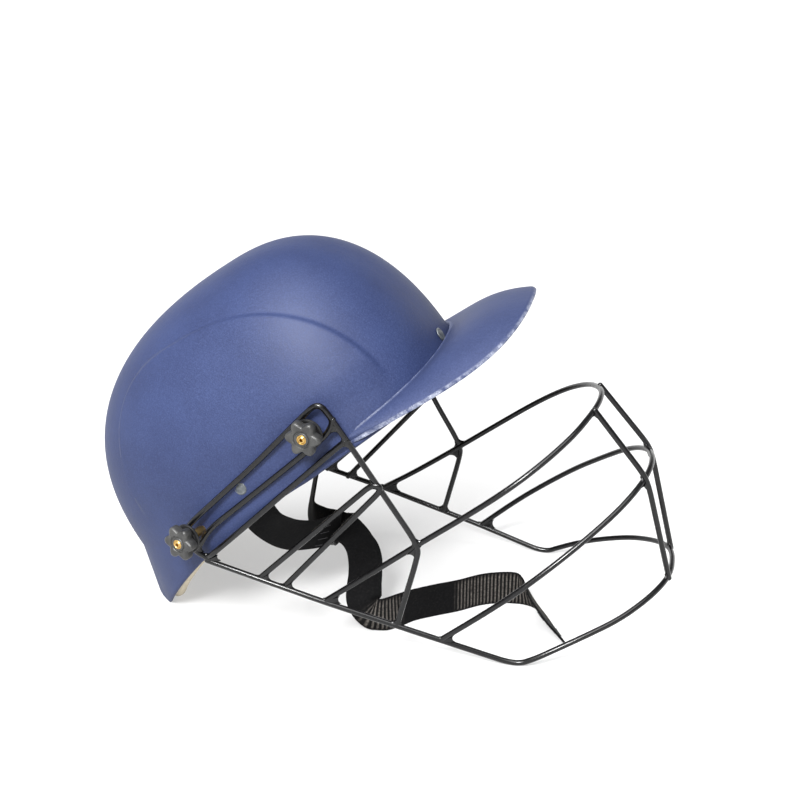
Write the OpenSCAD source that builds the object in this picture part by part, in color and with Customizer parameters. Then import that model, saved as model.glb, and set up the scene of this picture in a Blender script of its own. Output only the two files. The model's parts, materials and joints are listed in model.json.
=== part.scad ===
// Cricket batting helmet with a wire faceguard, lying tilted back on a flat surface.
// X points forward to the peak and the faceguard, Z is up, and Y = 0 is the plane of symmetry.
// Helmet coordinates belong to the upright helmet: the brim plane is z = 0 there.

/* [Shell] */
// Length of the shell ahead of its widest section
shell_front = 106; // [100:1:108]
// Length of the shell behind its widest section
shell_rear = 174; // [168:1:180]
// Half of the shell's width
shell_half_w = 96; // [94:1:97]
// Height of the crown above the brim plane
crown_h = 139; // [130:1:145]
// Roundness of the plan outline, where 2 is an ellipse
plan_n = 2.5; // [2.3:0.1:2.7]
// Roundness of the dome, where 2 is an ellipse
dome_n = 2.4; // [2.2:0.1:2.6]
// Wall of the moulded shell
shell_t = 3.2; // [2.5:0.1:3.6]
// Depth of the hem below the brim plane at the brow
brow_drop = 2; // [1.5:0.5:3]
// Further depth of the nape before it is trimmed
nape_drop = 54; // [50:1:58]
// How sharply the hem falls away toward the nape
hem_power = 3.6; // [3:0.1:4]
// How far the side panels pull in toward the hem, as a fraction
side_tuck = 0.035; // [0.03:0.005:0.05]
// How far the nape flares toward the hem, as a fraction
nape_flare = 0.078; // [0.06:0.002:0.09]
// How far the nape swells above the brim plane, as a fraction
nape_swell = 0.012; // [0:0.002:0.02]

/* [Rest pose] */
// Angle by which the helmet lies tilted back
tilt = 34; // [34:1:34]

/* [Padding] */
// Gap between the shell and the impact liner
liner_gap = 1.8; // [1.6:0.1:2.2]
// Thickness of the impact liner
liner_t = 11; // [8:1:13]
// Thickness of the comfort pads
pad_t = 7; // [4:1:9]

/* [Peak] */
// Reach of the peak ahead of the widest section
peak_reach = 177; // [172:1:182]
// Thickness of the peak
peak_t = 3; // [2.4:0.2:3.6]
// Height at which the peak meets the shell
peak_root_z = 9.5; // [8:0.5:11]
// Rise of the peak along its centre line
peak_arch = 18; // [12:1:20]
// Roundness of the peak's front outline, where 2 is an ellipse
peak_n = 2.6; // [2.4:0.1:2.8]

/* [Faceguard] */
// Diameter of the steel wire
wire_d = 4; // [3.6:0.1:4.2]
// Radius at which the wire is bent
bend_r = 9; // [7:1:11]

/* [Clamps] */
// Diameter of the fixing stud
stud_d = 5; // [5:0.1:5.2]
// Radial play of the parts that turn or slide on a stud
stud_play = 0.05; // [0.03:0.01:0.08]
// Across flats of the brass spacer nut
nut_af = 6.0; // [5.8:0.1:6.4]
// Outer diameter of the star knob
knob_d = 25; // [22:1:26]
// Thickness of the star knob
knob_h = 9.5; // [9:0.5:12]
// Diameter of the clamp washer
washer_d = 21; // [20:0.5:22]
// Thickness of the clamp washer
washer_t = 2; // [1.5:0.5:2.5]
// Rearward lean of the front studs and the strap buttons
stud_lean = 8; // [6:1:9]
// Rearward lean of the rear studs
rear_stud_lean = 20; // [18:1:22]

/* [Chin strap] */
// Width of the webbing
strap_w = 26; // [22:1:28]
// Thickness of the webbing
strap_t = 1.6; // [1.2:0.2:2]

/* [Hidden] */

RIGHT = -1;
LEFT = 1;

// Place of the helmet's own origin in the rest pose, and the shift that centres the outline
helmet_x = -36;
helmet_z = 134.5;
centre_x = -4;

// Steps of the lofted surfaces
round_steps = 48;
dome_rows = 12;
skirt_rows = 4;
wire_sides = 8;

// Outer surface of the helmet

function spow(v, e) = sign(v) * pow(abs(v), e);

function rearness(a) = (1 - cos(a)) / 2;

function plan_x(a, inset) =
    ((cos(a) >= 0 ? shell_front : shell_rear) - inset) * spow(cos(a), 2 / plan_n);

function plan_y(a, inset) = (shell_half_w - inset) * spow(sin(a), 2 / plan_n);

// Height of the resting plane in helmet coordinates at a distance x along the helmet
function rest_plane_z(x) = -(helmet_z + x * sin(tilt)) / cos(tilt);

function flare(a) = nape_flare * pow(rearness(a), 2);

function swell(a) = nape_swell * pow(rearness(a), 2);

function tuck(a) = side_tuck * pow(sin(a), 2);

function hem_z(a, inset) =
    max(
        -brow_drop - nape_drop * pow(rearness(a), hem_power),
        rest_plane_z(plan_x(a, inset) * (1 + swell(a) + flare(a) - tuck(a)))
    );

// k runs from 0 at the crown to 1 at the brim plane and to 2 at the hem
function skin_point(a, k, inset) =
    k <= 1
        ? let (r = spow(sin(90 * k), 2 / dome_n) * (1 + swell(a) * pow(k, 6)))
          [
              plan_x(a, inset) * r,
              plan_y(a, inset) * r,
              (crown_h - inset) * spow(cos(90 * k), 2 / dome_n)
          ]
        : let (u = k - 1, s = 1 + swell(a) + flare(a) * u - tuck(a) * u * u)
          [
              plan_x(a, inset) * s,
              plan_y(a, inset) * s,
              u * hem_z(a, inset)
          ];

// Closed bowl between two insets, from the crown down to row k_end
module bowl(inset_out, inset_in, rows, steps) {
    n = len(rows);
    outer = [
        for (k = rows, j = [0:steps - 1])
            skin_point(360 * j / steps, k, inset_out)
    ];
    inner = [
        for (k = rows, j = [0:steps - 1])
            skin_point(360 * j / steps, k, inset_in)
    ];
    points = concat(
        outer,
        inner,
        [[0, 0, crown_h - inset_out], [0, 0, crown_h - inset_in]]
    );
    m = n * steps;
    wall = [
        for (i = [0:n - 2], j = [0:steps - 1])
            let (a = i * steps + j, b = i * steps + (j + 1) % steps)
            [a, b, b + steps, a + steps]
    ];
    lining = [
        for (i = [0:n - 2], j = [0:steps - 1])
            let (a = m + i * steps + j, b = m + i * steps + (j + 1) % steps)
            [a, a + steps, b + steps, b]
    ];
    edge = [
        for (j = [0:steps - 1])
            let (a = m - steps + j, b = m - steps + (j + 1) % steps)
            [a, b, b + m, a + m]
    ];
    caps = [
        for (j = [0:steps - 1]) each [
            [2 * m, (j + 1) % steps, j],
            [2 * m + 1, m + j, m + (j + 1) % steps]
        ]
    ];
    polyhedron(points, concat(wall, lining, edge, caps), convexity = 6);
}

function flip(faces) =
    [for (f = faces) [for (i = [len(f) - 1:-1:0]) f[i]]];

// Closed slab between two grids of points, rows of equal length
module slab(top, bottom) {
    n = len(top);
    w = len(top[0]);
    m = n * w;
    points = concat([for (r = top) each r], [for (r = bottom) each r]);
    upper = [
        for (i = [0:n - 2], j = [0:w - 2])
            let (a = i * w + j)
            each [[a, a + 1, a + w + 1], [a, a + w + 1, a + w]]
    ];
    lower = [
        for (i = [0:n - 2], j = [0:w - 2])
            let (a = m + i * w + j)
            each [[a, a + w + 1, a + 1], [a, a + w, a + w + 1]]
    ];
    sides = concat(
        [for (j = [0:w - 2]) [j, j + m, j + 1 + m, j + 1]],
        [
            for (j = [0:w - 2])
                let (a = (n - 1) * w + j)
                [a, a + 1, a + 1 + m, a + m]
        ],
        [for (i = [0:n - 2]) [i * w, (i + 1) * w, (i + 1) * w + m, i * w + m]],
        [
            for (i = [0:n - 2])
                let (a = i * w + w - 1)
                [a, a + m, a + w + m, a + w]
        ]
    );
    polyhedron(points, flip(concat(upper, lower, sides)), convexity = 4);
}

// Closed pad between two insets, over a range of angles and rows
module pad(a_from, a_to, k_from, k_to, inset_out, inset_in, cols = 12, rows = 4) {
    slab(
        [
            for (i = [0:rows])
                [
                    for (j = [0:cols])
                        skin_point(
                            a_from + (a_to - a_from) * j / cols,
                            k_from + (k_to - k_from) * i / rows,
                            inset_in
                        )
                ]
        ],
        [
            for (i = [0:rows])
                [
                    for (j = [0:cols])
                        skin_point(
                            a_from + (a_to - a_from) * j / cols,
                            k_from + (k_to - k_from) * i / rows,
                            inset_out
                        )
                ]
        ]
    );
}

// Puts a piece drawn in helmet coordinates into the rest pose
module worn() {
    translate([helmet_x + centre_x, 0, helmet_z])
        rotate([0, -tilt, 0])
        children();
}

// Shifts a piece drawn in rest coordinates
module laid() {
    translate([centre_x, 0, 0]) children();
}

// Mirrors a piece drawn on the left to the side asked for
module on_side(side) {
    if (side == LEFT) children();
    else mirror([0, 1, 0]) children();
}

// Sweeps

function unit(v) = v / norm(v);

function along(p, i) =
    unit(p[min(i + 1, len(p) - 1)] - p[max(i - 1, 0)]);

// Replaces each inner corner of a route by a short curve
function rounded(p, r, steps = 3) = [
    p[0],
    for (i = [1:len(p) - 2])
        let (
            reach_in = min(r, norm(p[i] - p[i - 1]) / 2.2),
            reach_out = min(r, norm(p[i + 1] - p[i]) / 2.2),
            a = p[i] - reach_in * unit(p[i] - p[i - 1]),
            b = p[i] + reach_out * unit(p[i + 1] - p[i])
        )
        for (t = [0:1 / steps:1])
            a * (1 - t) * (1 - t) + p[i] * 2 * t * (1 - t) + b * t * t,
    p[len(p) - 1]
];

function wire_ring(p, i, ref, r) =
    let (
        t = along(p, i),
        u = unit(cross(t, ref)),
        v = cross(t, u)
    )
    [
        for (j = [0:wire_sides - 1])
            p[i] + r * (u * cos(360 * j / wire_sides) + v * sin(360 * j / wire_sides))
    ];

module loft(rings) {
    n = len(rings);
    w = len(rings[0]);
    points = [for (r = rings) each r];
    skin = [
        for (i = [0:n - 2], j = [0:w - 1])
            let (a = i * w + j, b = i * w + (j + 1) % w)
            each [[a, a + w, b + w], [a, b + w, b]]
    ];
    ends = [
        [for (j = [0:w - 1]) j],
        [for (j = [w - 1:-1:0]) (n - 1) * w + j]
    ];
    polyhedron(points, concat(skin, ends), convexity = 6);
}

module wire(route, ref) {
    p = rounded(route, bend_r);
    laid()
        loft([for (i = [0:len(p) - 1]) wire_ring(p, i, ref, wire_d / 2)]);
}

function mirrored(p) = [for (i = [len(p) - 1:-1:0]) [p[i].x, -p[i].y, p[i].z]];

// Flat webbing: every stop is a place and the direction of the webbing's width
module webbing(stops) {
    p = [for (s = stops) [s[0], s[1], s[2]]];
    laid()
        loft([
            for (i = [0:len(p) - 1])
                let (
                    t = along(p, i),
                    w0 = [stops[i][3], stops[i][4], stops[i][5]],
                    w = unit(w0 - t * (t * w0)),
                    n = cross(t, w),
                    hw = w * strap_w / 2,
                    ht = n * strap_t / 2
                )
                [p[i] - hw - ht, p[i] + hw - ht, p[i] + hw + ht, p[i] - hw + ht]
        ]);
}

// Wire routes on the left side, in rest coordinates

side_loop_route = [
    [-103, 94, 64], [-114, 95.5, 71], [-121, 96.3, 81], [-116, 96.8, 91],
    [-66, 98.7, 142], [-31, 99.8, 181], [-20, 100, 192], [-11, 99.6, 180],
    [-2, 97.5, 165], [20, 89, 125], [44, 85.5, 86], [43, 86, 76], [30, 90.5, 25.5]
];

slot_lower_route = [
    [-111, 95.2, 72], [-105.4, 96, 82], [-99, 96.5, 91.2], [-70.3, 97.5, 117.2],
    [-33.7, 99, 151.1], [-21, 99.4, 163.3], [-15, 99.6, 169.5], [-12, 99.5, 175.5],
    [-10.5, 99.4, 180]
];

rim_route = [
    [-103, 94.5, 66.5], [-99, 96.4, 70.5], [-75, 98.2, 94], [-50, 98.7, 119],
    [-25, 98.8, 143.5], [-6, 98.4, 162.5], [-2, 97.5, 165]
];

half_frame_route = [
    [-105, 94, 63], [-20, 94, 39.5], [60, 89, 16.6], [113, 84, 0.5], [126, 83.5, 6.6],
    [140, 80, 14], [157, 74, 22], [180, 63, 32], [197, 47, 40], [208, 31, 45.5],
    [213.5, 14, 48]
];

cheek_route = [[-67.5, 93, 52.5], [14, 92.2, 133], [21, 91.8, 130], [-50, 92.5, 47.5]];

half_upper_route = [
    [-19.5, 93.5, 41], [5, 88.5, 58], [44, 84, 87], [75, 83, 110], [104, 79, 132],
    [126, 67, 149], [142, 49, 161], [151, 29, 168], [156, 10, 171.5]
];

half_lower_route = [
    [61.5, 89, 17.4], [90, 91, 41.5], [113, 88, 60], [136, 80, 79], [156, 68, 95],
    [173, 55, 109], [184, 40, 118], [191, 24, 123.5], [194, 8, 126]
];

front_upright_route = [[153.6, 24, 170.4], [190, 27, 126.5], [194, 27, 117], [212, 23, 47]];

SIDE_REF = [0, 1, 0];
FLAT_REF = [0, 0, 1];
BAR_REF = [-0.6, 0, 0.8];

// Studs, in rest coordinates: place on the shell's surface on the left side

front_stud = [-25, 94, 170.5];
rear_stud = [-108.6, 88.6, 84.4];
strap_rivet_at = [-78, 94.1, 121.5];

nut_gap = 0.4;
flange_d = 14;
flange_t = 1.4;
stud_out = 21.5;
washer_at = [9.4, 16];
knob_seat = 0.2;
insert_d = 7;
lobe_count = 6;

// Draws a piece along a stud, z outward from the shell
module on_stud(side, at, lean = stud_lean) {
    laid()
        on_side(side)
        translate(at)
        rotate([0, 0, lean])
        rotate([-90, 0, 0])
        children();
}

function stud_place(rear) = rear ? rear_stud : front_stud;

function lean_of(rear) = rear ? rear_stud_lean : stud_lean;

function washer_z(rear) = washer_at[rear ? 1 : 0];

module stud(side, rear) {
    on_stud(side, stud_place(rear), lean_of(rear)) {
        translate([0, 0, -shell_t - flange_t - 0.2])
            cylinder(d = flange_d, h = flange_t, $fn = 48);
        translate([0, 0, -shell_t - flange_t])
            cylinder(
                d = stud_d,
                h = shell_t + flange_t + stud_out + washer_z(rear) - washer_at[0],
                $fn = 48
            );
    }
}

module spacer_nut(side, rear) {
    on_stud(side, stud_place(rear), lean_of(rear))
        rotate([0, 0, 13])
        difference() {
            cylinder(d = nut_af / cos(30), h = washer_z(rear) - nut_gap, $fn = 6);
            translate([0, 0, -1])
                cylinder(d = stud_d, h = washer_z(rear) + 2, $fn = 48);
        }
}

module clamp_washer(side, rear) {
    color([0.13, 0.13, 0.13])
        on_stud(side, stud_place(rear), lean_of(rear))
        translate([0, 0, washer_z(rear)])
        difference() {
            cylinder(d = washer_d, h = washer_t, $fn = 64);
            translate([0, 0, -1])
                cylinder(d = stud_d + 2 * stud_play, h = washer_t + 2, $fn = 48);
        }
}

module star_outline() {
    lobe_r = knob_d * 0.15;
    union() {
        circle(d = knob_d * 0.76, $fn = 64);
        for (i = [0:lobe_count - 1])
            rotate([0, 0, i * 360 / lobe_count])
                translate([knob_d / 2 - lobe_r, 0])
                circle(r = lobe_r, $fn = 32);
    }
}

module star_knob(side, rear) {
    color([0.24, 0.24, 0.24])
        on_stud(side, stud_place(rear), lean_of(rear))
        translate([0, 0, washer_z(rear) + washer_t + knob_seat])
        difference() {
            union() {
                translate([0, 0, 2])
                    linear_extrude(knob_h - 2)
                    star_outline();
                cylinder(d = knob_d * 0.56, h = 3, $fn = 64);
            }
            translate([0, 0, -1])
                cylinder(d = insert_d, h = knob_h + 2, $fn = 48);
        }
}

module knob_insert(side, rear) {
    color([0.8, 0.6, 0.3])
        on_stud(side, stud_place(rear), lean_of(rear))
        translate([0, 0, washer_z(rear) + washer_t + knob_seat])
        difference() {
            cylinder(d = insert_d, h = knob_h, $fn = 48);
            translate([0, 0, -1])
                cylinder(d = stud_d + 2 * stud_play, h = knob_h + 2, $fn = 48);
        }
}

// Sub-parts

shell_rows = concat(
    [for (i = [1:dome_rows]) i / dome_rows],
    [for (i = [1:skirt_rows]) 1 + i / skirt_rows]
);

module shell() {
    color([0.27, 0.33, 0.55])
        difference() {
            worn()
                bowl(0, shell_t, shell_rows, round_steps);
            for (side = [RIGHT, LEFT]) {
                for (rear = [false, true])
                    on_stud(side, stud_place(rear), lean_of(rear))
                    translate([0, 0, -12])
                    cylinder(d = stud_d, h = 24, $fn = 48);
                on_stud(side, strap_rivet_at)
                    translate([0, 0, -12])
                    cylinder(d = rivet_shank, h = 24, $fn = 48);
            }
            worn()
                translate([shell_front, 0, peak_rivet_z])
                rotate([0, 90, 0])
                translate([0, 0, -12])
                cylinder(d = rivet_shank, h = 24, $fn = 48);
        }
}

rivet_shank = 4;
rivet_head = 10;
peak_rivet_z = 18;

module rivet(grip) {
    translate([0, 0, 0.2])
        rotate_extrude($fn = 64)
        polygon([[0, 0], [rivet_head / 2, 0], [rivet_head / 2 - 0.6, 0.8], [2, 1.3], [0, 1.4]]);
    translate([0, 0, -grip])
        cylinder(d = rivet_shank, h = grip + 0.6, $fn = 48);
    translate([0, 0, -grip - 0.9])
        cylinder(d = rivet_head - 2, h = 1, $fn = 48);
}

module peak_rivet() {
    color([0.55, 0.56, 0.58])
        worn()
        translate([shell_front, 0, peak_rivet_z])
        rotate([0, 90, 0])
        rivet(shell_t);
}

module strap_rivets() {
    color([0.45, 0.46, 0.46])
        for (side = [RIGHT, LEFT])
            on_stud(side, strap_rivet_at)
            rivet(shell_t + strap_t);
}

peak_span = 76;
peak_cols = 28;
peak_rows = 7;
peak_corner_x = 45;
peak_edge_half_w = 91;
peak_dip = 2;
peak_lift = 5;

function peak_root(a, lift) =
    let (
        z = peak_root_z * pow(cos(a * 90 / peak_span), 0.35),
        r = pow(1 - pow(z / crown_h, dome_n), 1 / dome_n),
        sink = 0.4
    )
    [plan_x(a, sink) * r, plan_y(a, sink) * r, z + lift];

function peak_edge(a, lift) =
    let (b = a * 90 / peak_span)
    [
        peak_corner_x + (peak_reach - peak_corner_x) * spow(cos(b), 2 / peak_n),
        peak_edge_half_w * spow(sin(b), 2 / peak_n),
        1 - peak_dip * pow(sin(2 * b), 2) + peak_lift * pow(cos(b), 4) + lift
    ];

function peak_point(a, t, lift) =
    let (
        p = peak_root(a, lift),
        q = peak_edge(a, lift),
        bow = peak_arch * 4 * t * (1 - t) * pow(cos(a * 90 / peak_span), 2)
    )
    p * (1 - t) + q * t + [0, 0, bow * 0.5];

module peak() {
    color([0.33, 0.4, 0.62])
        worn()
        slab(
            [
                for (i = [0:peak_rows])
                    [
                        for (j = [0:peak_cols])
                            peak_point(
                                -peak_span + 2 * peak_span * j / peak_cols,
                                i / peak_rows,
                                0
                            )
                    ]
            ],
            [
                for (i = [0:peak_rows])
                    [
                        for (j = [0:peak_cols])
                            peak_point(
                                -peak_span + 2 * peak_span * j / peak_cols,
                                i / peak_rows,
                                peak_t
                            )
                    ]
            ]
        );
}

liner_out = shell_t + liner_gap;
liner_in = liner_out + liner_t;

module impact_liner() {
    color([0.87, 0.82, 0.72])
        worn()
        bowl(
            liner_out,
            liner_in,
            concat(
                [for (i = [1:9]) i / 9],
                [for (i = [1:2]) 1 + i / 2]
            ),
            36
        );
}

module crown_pad() {
    color([0.2, 0.2, 0.22])
        worn()
        bowl(liner_in + 0.3, liner_in + pad_t, [for (i = [1:5]) i * 0.1], 28);
}

module front_sweatband() {
    color([0.2, 0.2, 0.22])
        worn()
        pad(-62, 62, 0.78, 1, liner_in + 0.3, liner_in + pad_t, 16);
}

module nape_pad() {
    color([0.2, 0.2, 0.22])
        worn()
        pad(150, 210, 0.85, 1.45, liner_in + 0.3, liner_in + pad_t, 10, 5);
}

module side_pads() {
    color([0.2, 0.2, 0.22])
        worn()
        for (side = [RIGHT, LEFT])
            on_side(side)
            pad(78, 138, 0.72, 1, liner_in + 0.3, liner_in + pad_t, 10);
}

module fixing_studs() {
    color([0.72, 0.55, 0.3])
        for (side = [RIGHT, LEFT], rear = [false, true])
            stud(side, rear);
}

module brass_spacer_nuts() {
    color([0.8, 0.6, 0.3])
        for (side = [RIGHT, LEFT], rear = [false, true])
            spacer_nut(side, rear);
}

module steel() {
    color([0.1, 0.1, 0.1]) children();
}

module side_loop_wire(side) {
    steel() on_side(side) wire(side_loop_route, SIDE_REF);
}

module slot_lower_wire(side) {
    steel() on_side(side) wire(slot_lower_route, SIDE_REF);
}

module rim_wire(side) {
    steel() on_side(side) wire(rim_route, SIDE_REF);
}

module cheek_hairpin(side) {
    steel() on_side(side) wire(cheek_route, SIDE_REF);
}

module front_upright(side) {
    steel() on_side(side) wire(front_upright_route, SIDE_REF);
}

module lower_frame_wire() {
    steel() wire(concat(half_frame_route, mirrored(half_frame_route)), FLAT_REF);
}

module upper_front_bar() {
    steel() wire(concat(half_upper_route, mirrored(half_upper_route)), BAR_REF);
}

module lower_front_bar() {
    steel() wire(concat(half_lower_route, mirrored(half_lower_route)), BAR_REF);
}

// Chin strap: places of the webbing, each with the direction of its width

strap_right_stops = [
    [-78, -90, 122, 0.7, 0, 0.7],
    [-73, -89.5, 112, 0.75, 0, 0.66],
    [-68, -88.5, 102, 0.8, 0, 0.6],
    [-64, -85, 93, 0.85, 0.1, 0.5],
    [-59, -77, 84, 0.8, 0.3, 0.5],
    [-53, -66, 75, 0.7, 0.5, 0.5],
    [-46, -53, 68, 0.6, 0.6, 0.5],
    [-39, -38, 63, 0.5, 0.6, 0.6],
    [-33, -25, 60, 0.4, 0.6, 0.7],
    [-29, -16, 59, 0.3, 0.6, 0.75]
];

strap_left_stops = [
    [-78, 90, 122, 0.7, 0, 0.7],
    [-73, 89.5, 112, 0.75, 0, 0.66],
    [-68, 88.5, 102, 0.8, 0, 0.6],
    [-66, 84, 92, 0.8, -0.3, 0.5],
    [-66, 74, 80, 0.6, -0.5, 0.6],
    [-66, 60, 70, 0.4, -0.5, 0.8],
    [-65, 44, 61, 0.35, -0.5, 0.8],
    [-63, 28, 53, 0.35, -0.5, 0.8],
    [-57, 12, 50, 0.25, -0.4, 0.85],
    [-47, -1, 51, 0.3, 0.1, 0.9],
    [-37, -9, 54, 0.2, 0.5, 0.8],
    [-28, -15, 56, 0.1, 0.85, 0.5],
    [-21, -22, 57.4, 0.15, 0.95, 0.2],
    [-13.4, -30, 57.2, 0.45, 0.88, 0.05],
    [-7.3, -36, 53.4, 0.67, 0.74, 0.03],
    [-4, -41, 46.5, 0.78, 0.62, 0.03],
    [-3, -45.5, 37.5, 0.8, 0.6, 0],
    [-3, -49.5, 28.5, 0.84, 0.5, 0.1],
    [-2, -53.5, 20.5, 0.8, 0.35, 0.45],
    [3, -58, 15.2, 0.6, 0.1, 0.78],
    [9, -60, 13.7, 0.3, 0, 0.95],
    [16, -57, 13.4, 0.05, 0.1, 1],
    [24, -49, 13.4, 0, 0.1, 1],
    [33, -40, 13.4, 0, 0, 1],
    [47, -30, 13.4, 0, 0, 1],
    [61, -21, 13.4, 0, 0, 1],
    [76, -9, 13.4, 0, 0, 1],
    [89, -3, 13.4, 0, 0, 1],
    [101, -1, 13.3, -0.1, 0, 1],
    [109, -5, 13, -0.3, -0.1, 0.95],
    [115, -12, 12.4, -0.42, -0.2, 0.88],
    [120, -21, 11.5, -0.5, -0.3, 0.8],
    [126, -33, 11.2, -0.52, -0.32, 0.79],
    [132, -45, 11.2, -0.52, -0.32, 0.79],
    [138, -56, 11.2, -0.52, -0.32, 0.79]
];

module strap_right() {
    color([0.12, 0.12, 0.12]) webbing(strap_right_stops);
}

module strap_left() {
    color([0.12, 0.12, 0.12]) webbing(strap_left_stops);
}

slider_at = [-28, -15, 56];
slider_size = [10, strap_w + 5, 4.6];

module strap_slider() {
    color([0.1, 0.1, 0.1])
        laid()
        translate(slider_at)
        rotate([30, -20, -35])
        difference() {
            cube(slider_size, center = true);
            cube([slider_size.x + 1, strap_w + 0.4, 3.6], center = true);
        }
}

shell();
peak();
peak_rivet();
impact_liner();
crown_pad();
front_sweatband();
nape_pad();
side_pads();
fixing_studs();
brass_spacer_nuts();
strap_rivets();
side_loop_wire(RIGHT);  // side_loop_wire_right
side_loop_wire(LEFT);  // side_loop_wire_left
slot_lower_wire(RIGHT);  // slot_lower_wire_right
slot_lower_wire(LEFT);  // slot_lower_wire_left
rim_wire(RIGHT);  // rim_wire_right
rim_wire(LEFT);  // rim_wire_left
lower_frame_wire();
cheek_hairpin(RIGHT);  // cheek_hairpin_right
cheek_hairpin(LEFT);  // cheek_hairpin_left
upper_front_bar();
lower_front_bar();
front_upright(RIGHT);  // front_upright_right
front_upright(LEFT);  // front_upright_left
clamp_washer(RIGHT, false);  // clamp_washer_front_right
clamp_washer(LEFT, false);  // clamp_washer_front_left
clamp_washer(RIGHT, true);  // clamp_washer_rear_right
clamp_washer(LEFT, true);  // clamp_washer_rear_left
star_knob(RIGHT, false);  // star_knob_front_right
star_knob(LEFT, false);  // star_knob_front_left
star_knob(RIGHT, true);  // star_knob_rear_right
star_knob(LEFT, true);  // star_knob_rear_left
knob_insert(RIGHT, false);  // knob_insert_front_right
knob_insert(LEFT, false);  // knob_insert_front_left
knob_insert(RIGHT, true);  // knob_insert_rear_right
knob_insert(LEFT, true);  // knob_insert_rear_left
strap_right();
strap_left();
strap_slider();
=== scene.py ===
# Cricket batting helmet with a wire faceguard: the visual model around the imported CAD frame.
# Lengths are millimetres until they become mesh points, which are in metres.
# Helmet coordinates belong to the upright helmet; rest coordinates to the one lying tilted back.
import json
import math

import bpy
import bmesh
import numpy as np
from mathutils import Matrix, Vector


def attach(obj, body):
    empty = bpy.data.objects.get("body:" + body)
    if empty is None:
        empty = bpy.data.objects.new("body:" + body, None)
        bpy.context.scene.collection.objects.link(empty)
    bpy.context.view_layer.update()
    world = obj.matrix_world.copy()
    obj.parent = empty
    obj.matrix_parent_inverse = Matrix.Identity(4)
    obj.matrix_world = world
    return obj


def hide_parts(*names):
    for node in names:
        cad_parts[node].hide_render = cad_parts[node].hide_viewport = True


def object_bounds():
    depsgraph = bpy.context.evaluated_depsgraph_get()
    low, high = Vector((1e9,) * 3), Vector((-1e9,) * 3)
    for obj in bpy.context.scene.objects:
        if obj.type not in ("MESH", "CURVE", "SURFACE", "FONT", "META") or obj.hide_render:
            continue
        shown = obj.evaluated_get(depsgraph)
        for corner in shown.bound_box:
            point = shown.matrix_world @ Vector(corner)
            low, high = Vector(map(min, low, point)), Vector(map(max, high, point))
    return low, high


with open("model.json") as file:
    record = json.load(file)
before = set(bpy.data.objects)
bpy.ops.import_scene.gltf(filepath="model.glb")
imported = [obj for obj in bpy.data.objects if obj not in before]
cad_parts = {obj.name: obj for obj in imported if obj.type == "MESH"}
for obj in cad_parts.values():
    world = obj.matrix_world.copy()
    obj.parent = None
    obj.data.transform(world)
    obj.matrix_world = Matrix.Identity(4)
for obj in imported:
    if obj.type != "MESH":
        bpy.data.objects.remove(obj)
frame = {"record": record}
CAD_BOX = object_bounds()

MM = 0.001
SIDES = {"right": -1, "left": 1}
ENDS = ("front", "rear")

# Shell
SHELL_FRONT, SHELL_REAR, SHELL_HALF_W, CROWN_H = 106, 174, 96, 139
PLAN_N, DOME_N = 2.5, 2.4
SHELL_T = 3.2
BROW_DROP, NAPE_DROP, HEM_POWER = 2, 54, 3.6
SIDE_TUCK, NAPE_FLARE, NAPE_SWELL = 0.035, 0.078, 0.012
TILT = math.radians(34)
HELMET_X, HELMET_Z, CENTRE_X = -36, 134.5, -4

# Raised side panel: the arch that bounds it, and how far it stands proud
ARCH_X, ARCH_FRONT, ARCH_REAR, ARCH_H = -40, 126, 92, 118
ARCH_N = 2.5
PANEL_PROUD = 2.3
PANEL_STEP = 0.075
PANEL_FADE = (20, 46)

# Padding
LINER_OUT = SHELL_T + 1.8
LINER_IN = LINER_OUT + 11
PAD_T = 7

# Peak
PEAK_REACH, PEAK_T, PEAK_ROOT_Z = 177, 3, 9.5
PEAK_ARCH, PEAK_N, PEAK_SPAN = 18, 2.6, 76
PEAK_CORNER_X, PEAK_EDGE_HALF_W = 45, 91
PEAK_DIP, PEAK_LIFT, PEAK_SINK = 2, 5, 0.4
PEAK_RIVET_Z = 18

# Faceguard
WIRE_R = 2
TIGHT_BEND, WIDE_BEND, LONG_BEND = 9, 16, 40

# Clamps
STUD_D, NUT_AF, NUT_GAP = 5, 5.7, 0.4
FLANGE_D, FLANGE_T, STUD_OUT = 14, 1.4, 21.5
WASHER_Z = {"front": 9.4, "rear": 16}
WASHER_D, WASHER_T, KNOB_SEAT = 21, 2, 0.2
THREAD_PITCH, THREAD_DEPTH, BORE_PLAY = 0.8, 0.22, 0.05
NUT_TURN = math.radians(13)
# A turned piece starts this near its axis, so that its end face is a real ring
AXIS_R = 0.01
KNOB_D, KNOB_H, INSERT_D, LOBES = 25, 9.5, 7, 6
STRAP_RIVET_AT = (-78, 94.1, 121.5)
STUD_LEAN = math.radians(8)
RIVET_D = 10

# Chin strap
STRAP_W, STRAP_T = 26, 1.6
RIB_PITCH, RIB_H = 2.8, 0.28
STRAP_STEP = 0.56
RIB_FADE, SELVEDGE = 0.02, 0.9
STITCH_PITCH, STITCH_R = 2.2, 0.26


# Outer surface of the helmet

def spow(v, e):
    return np.sign(v) * np.abs(v) ** e


def smooth(x):
    x = np.clip(x, 0, 1)
    return x * x * (3 - 2 * x)


def rearness(a):
    return (1 - np.cos(a)) / 2


def plan_x(a, inset):
    reach = np.where(np.cos(a) >= 0, SHELL_FRONT, SHELL_REAR)
    return (reach - inset) * spow(np.cos(a), 2 / PLAN_N)


def plan_y(a, inset):
    return (SHELL_HALF_W - inset) * spow(np.sin(a), 2 / PLAN_N)


def flare(a):
    return NAPE_FLARE * rearness(a) ** 2


def swell(a):
    return NAPE_SWELL * rearness(a) ** 2


def tuck(a):
    return SIDE_TUCK * np.sin(a) ** 2


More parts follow.
